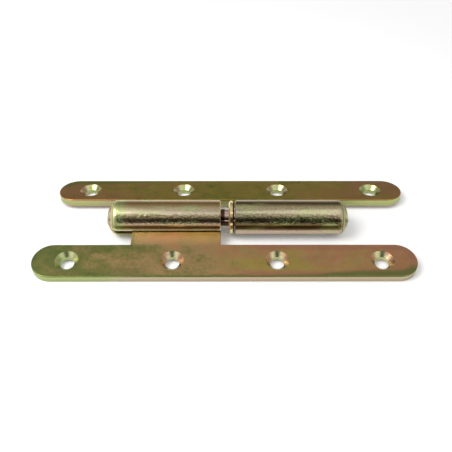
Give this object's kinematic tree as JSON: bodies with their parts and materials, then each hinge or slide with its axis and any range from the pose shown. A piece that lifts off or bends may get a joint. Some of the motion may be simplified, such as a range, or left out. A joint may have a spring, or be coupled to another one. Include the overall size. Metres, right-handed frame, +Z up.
{
  "type": "lift-off hinge",
  "caption": "Lift-off hinge, lying open: two long round-ended leaves on tabs, closed rolled knuckles, a fixed pin in one and a washer between them.",
  "frame": {"origin": "on the surface the hinge lies on, below the pin axis, at the middle of the open hinge", "axes": "+X along the pin axis, from the lifting knuckle to the knuckle that holds the pin; +Y towards the leaf that holds the pin; +Z up, out of the leaves' countersunk faces"},
  "size_m": [0.1424, 0.0548, 0.0134],
  "materials": {
    "lift_leaf_plating": "steel, zinc plated and yellow passivated, with iridescent clouds of olive, gold and reddish brown",
    "pin_leaf_plating": "steel, zinc plated and yellow passivated, olive with reddish brown ends",
    "pin_plating": "drawn steel, zinc plated and yellow passivated, smooth",
    "washer_plating": "turned steel, zinc plated and pale yellow passivated, smooth"
  },
  "bodies": {
    "pin_side": {"pin_leaf": "pin_leaf_plating", "pin": "pin_plating"},
    "washer_ring": {"washer": "washer_plating"},
    "lift_side": {"lift_leaf": "lift_leaf_plating"}
  },
  "joints": [
    {"name": "swing", "type": "hinge", "parent": "pin_side", "child": "washer_ring", "pos_m": [0, 0, 0.0067], "axis": [-1, 0, 0], "range_deg": [-135, 193]},
    {"name": "lift_off", "type": "slide", "parent": "washer_ring", "child": "lift_side", "axis": [-1, 0, 0], "range_m": [-0.003, 0.035]}
  ]
}
